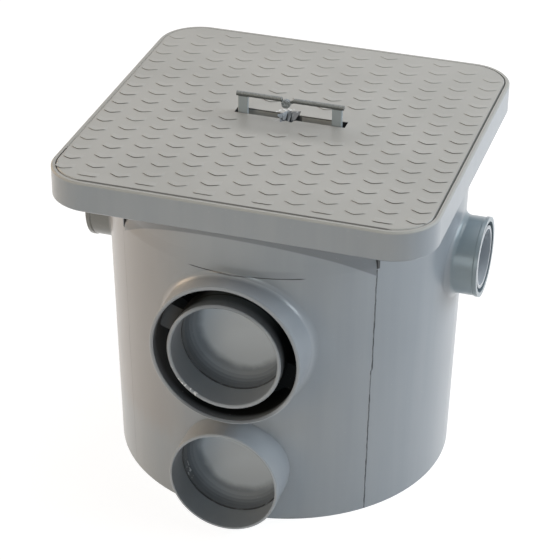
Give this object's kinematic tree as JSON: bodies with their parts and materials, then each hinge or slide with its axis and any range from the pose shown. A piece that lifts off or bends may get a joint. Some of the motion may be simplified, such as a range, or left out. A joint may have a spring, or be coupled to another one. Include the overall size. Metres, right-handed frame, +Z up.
{
  "type": "drainage inspection box",
  "caption": "Round moulded drainage chamber with a square head, drop-in ribbed lid, pull-up handle, stepped front and side pipe inlets and a low front outlet.",
  "frame": {"origin": "centre of the chamber's foot, on the surface that it stands on", "axes": "+Z up along the chamber's axis, -Y towards the front inlet and outlet, +X towards the right side inlet"},
  "size_m": [0.2928, 0.2835, 0.2732],
  "materials": {
    "body_plastic": "satin moulded grey",
    "lid_plastic": "matte moulded grey with a grip pattern",
    "handle_plastic": "satin moulded grey"
  },
  "bodies": {
    "box": {"chamber_body": "body_plastic", "lid": "lid_plastic"},
    "handle": {"lift_handle": "handle_plastic"}
  },
  "joints": [
    {"name": "handle_slide", "type": "slide", "parent": "box", "child": "handle", "axis": [0, 0, 1], "range_m": [-0.0158, 0]}
  ]
}
